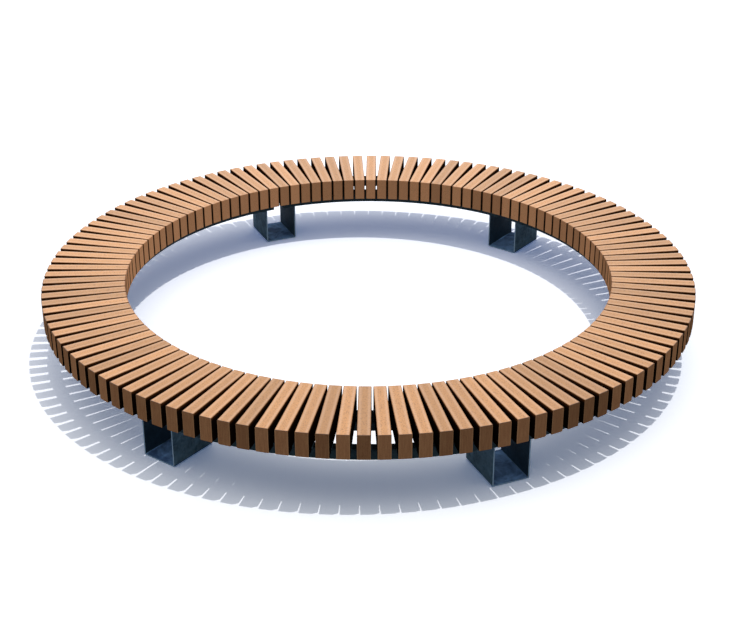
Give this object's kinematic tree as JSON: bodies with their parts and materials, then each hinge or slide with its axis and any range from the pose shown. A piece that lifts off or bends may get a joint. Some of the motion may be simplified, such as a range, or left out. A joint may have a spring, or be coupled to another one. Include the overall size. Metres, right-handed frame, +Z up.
{
  "type": "tree bench",
  "caption": "Backless ring bench that stands round a tree: hardwood slats on edge point at the trunk, carried by two rings of folded galvanised steel rail on U-shaped plate legs.",
  "frame": {"origin": "middle of the ring, on the ground", "axes": "+Z points up, and +X runs from the middle of the ring through the middle of the first leg"},
  "size_m": [4, 4, 0.45],
  "materials": {
    "slat_wood": "planed and oiled hardwood",
    "rail_steel": "dull hot-dip galvanised",
    "leg_steel": "dull hot-dip galvanised",
    "fixing_steel": "bright zinc plated"
  },
  "bodies": {
    "root": {"leg_1": "leg_steel", "leg_2": "leg_steel", "leg_3": "leg_steel", "leg_4": "leg_steel", "leg_5": "leg_steel", "leg_6": "leg_steel", "inner_rail_1": "rail_steel", "inner_rail_2": "rail_steel", "inner_rail_3": "rail_steel", "inner_rail_4": "rail_steel", "inner_rail_5": "rail_steel", "inner_rail_6": "rail_steel", "outer_rail_1": "rail_steel", "outer_rail_2": "rail_steel", "outer_rail_3": "rail_steel", "outer_rail_4": "rail_steel", "outer_rail_5": "rail_steel", "outer_rail_6": "rail_steel", "slats_1_1": "slat_wood", "slats_1_2": "slat_wood", "slats_1_3": "slat_wood", "slats_1_4": "slat_wood", "slats_2_1": "slat_wood", "slats_2_2": "slat_wood", "slats_2_3": "slat_wood", "slats_2_4": "slat_wood", "slats_3_1": "slat_wood", "slats_3_2": "slat_wood", "slats_3_3": "slat_wood", "slats_3_4": "slat_wood", "slats_4_1": "slat_wood", "slats_4_2": "slat_wood", "slats_4_3": "slat_wood", "slats_4_4": "slat_wood", "slats_5_1": "slat_wood", "slats_5_2": "slat_wood", "slats_5_3": "slat_wood", "slats_5_4": "slat_wood", "slats_6_1": "slat_wood", "slats_6_2": "slat_wood", "slats_6_3": "slat_wood", "slats_6_4": "slat_wood", "slat_screws_1": "fixing_steel", "slat_screws_2": "fixing_steel", "slat_screws_3": "fixing_steel", "slat_screws_4": "fixing_steel", "slat_screws_5": "fixing_steel", "slat_screws_6": "fixing_steel", "leg_bolts_1": "fixing_steel", "leg_bolts_2": "fixing_steel", "leg_bolts_3": "fixing_steel", "leg_bolts_4": "fixing_steel", "leg_bolts_5": "fixing_steel", "leg_bolts_6": "fixing_steel"}
  },
  "joints": []
}
